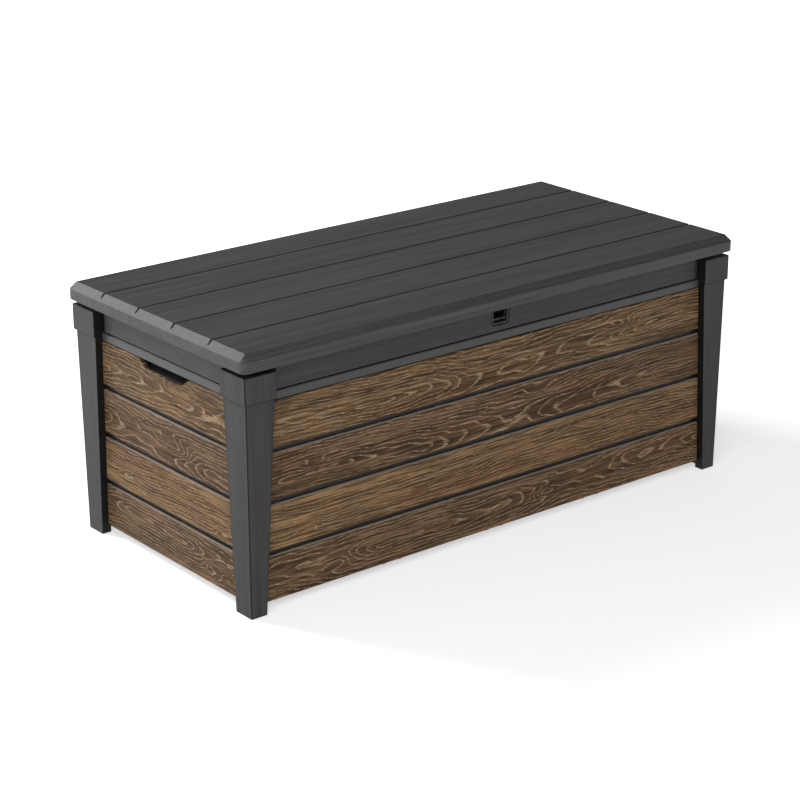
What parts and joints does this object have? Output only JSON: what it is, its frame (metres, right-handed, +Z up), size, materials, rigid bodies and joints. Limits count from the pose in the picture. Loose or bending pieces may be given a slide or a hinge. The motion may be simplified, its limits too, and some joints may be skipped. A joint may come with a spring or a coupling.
{
  "type": "deck storage box",
  "caption": "Wood-look resin storage box with tapered corner posts, boarded walls, hand holes and a planked lid hinged at the rear on gas struts.",
  "frame": {"origin": "on the floor at the centre of the outline", "axes": "+X along the box, the front with the lock faces -Y, +Z up"},
  "size_m": [1.45, 0.692, 0.603],
  "materials": {
    "lid_plastic": "fine brushed wood grain, satin",
    "frame_plastic": "fine upright grain, matte",
    "shell_plastic": "matte moulded",
    "board_row_4": "printed brown wood grain, satin",
    "board_row_3": "printed reddish wood grain, satin",
    "board_row_2": "printed tan wood grain, satin",
    "board_row_1": "printed dark brown wood grain, satin",
    "hinge_steel": "black powder coat",
    "fastener_steel": "zinc plated",
    "bar_steel": "galvanised",
    "strut_black": "gloss black",
    "rod_chrome": "polished"
  },
  "bodies": {
    "box": {"front_panel": "shell_plastic", "right_panel": "shell_plastic", "rear_panel": "shell_plastic", "left_panel": "shell_plastic", "floor_panel": "shell_plastic", "front_board_1": "board_row_1", "front_board_2": "board_row_2", "front_board_3": "board_row_3", "front_board_4": "board_row_4", "right_board_1": "board_row_1", "right_board_2": "board_row_2", "right_board_3": "board_row_3", "right_board_4": "board_row_4", "rear_board_1": "board_row_1", "rear_board_2": "board_row_2", "rear_board_3": "board_row_3", "rear_board_4": "board_row_4", "left_board_1": "board_row_1", "left_board_2": "board_row_2", "left_board_3": "board_row_3", "left_board_4": "board_row_4", "front_left_post": "frame_plastic", "front_right_post": "frame_plastic", "rear_left_post": "frame_plastic", "rear_right_post": "frame_plastic", "post_screws": "fastener_steel", "lock_staple": "fastener_steel", "staple_screws": "fastener_steel", "left_hinge_body_leaf": "hinge_steel", "left_hinge_pin": "fastener_steel", "middle_hinge_body_leaf": "hinge_steel", "middle_hinge_pin": "fastener_steel", "right_hinge_body_leaf": "hinge_steel", "right_hinge_pin": "fastener_steel", "hinge_body_screws": "fastener_steel", "left_strut_foot_bracket": "hinge_steel", "right_strut_foot_bracket": "hinge_steel", "strut_foot_screws": "fastener_steel"},
    "lid": {"lid_shell": "lid_plastic", "lid_frame": "shell_plastic", "lid_screws": "fastener_steel", "front_bar": "bar_steel", "rear_bar": "bar_steel", "lock_bezel": "frame_plastic", "hinge_lid_screws": "fastener_steel", "strut_head_screws": "fastener_steel", "left_hinge_lid_leaf": "hinge_steel", "middle_hinge_lid_leaf": "hinge_steel", "right_hinge_lid_leaf": "hinge_steel", "left_strut_head_bracket": "hinge_steel", "right_strut_head_bracket": "hinge_steel"},
    "left_cylinder": {"left_strut_cylinder": "strut_black"},
    "left_rod": {"left_strut_rod": "rod_chrome"},
    "right_cylinder": {"right_strut_cylinder": "strut_black"},
    "right_rod": {"right_strut_rod": "rod_chrome"}
  },
  "joints": [
    {"name": "lid_hinge", "type": "hinge", "parent": "box", "child": "lid", "pos_m": [0, 0.338, 0.557], "axis": [-1, 0, 0], "range_deg": [0, 80]},
    {"name": "left_strut_swing", "type": "hinge", "parent": "box", "child": "left_cylinder", "pos_m": [-0.6607, 0.27526, 0.36709], "axis": [-1, 0, 0], "range_deg": [0, 40.05]},
    {"name": "left_strut_stroke", "type": "slide", "parent": "left_cylinder", "child": "left_rod", "axis": [0, -0.5979, 0.8016], "range_m": [0, 0.15724]},
    {"name": "right_strut_swing", "type": "hinge", "parent": "box", "child": "right_cylinder", "pos_m": [0.6607, 0.27526, 0.36709], "axis": [-1, 0, 0], "range_deg": [0, 40.05]},
    {"name": "right_strut_stroke", "type": "slide", "parent": "right_cylinder", "child": "right_rod", "axis": [0, -0.5979, 0.8016], "range_m": [0, 0.15724]}
  ],
  "couplings": [
    {"joint": "left_strut_swing", "follows": "lid_hinge", "ratio": 0.5},
    {"joint": "left_strut_stroke", "follows": "lid_hinge", "m_per_rad": 0.1124},
    {"joint": "right_strut_swing", "follows": "lid_hinge", "ratio": 0.5},
    {"joint": "right_strut_stroke", "follows": "lid_hinge", "m_per_rad": 0.1124}
  ]
}
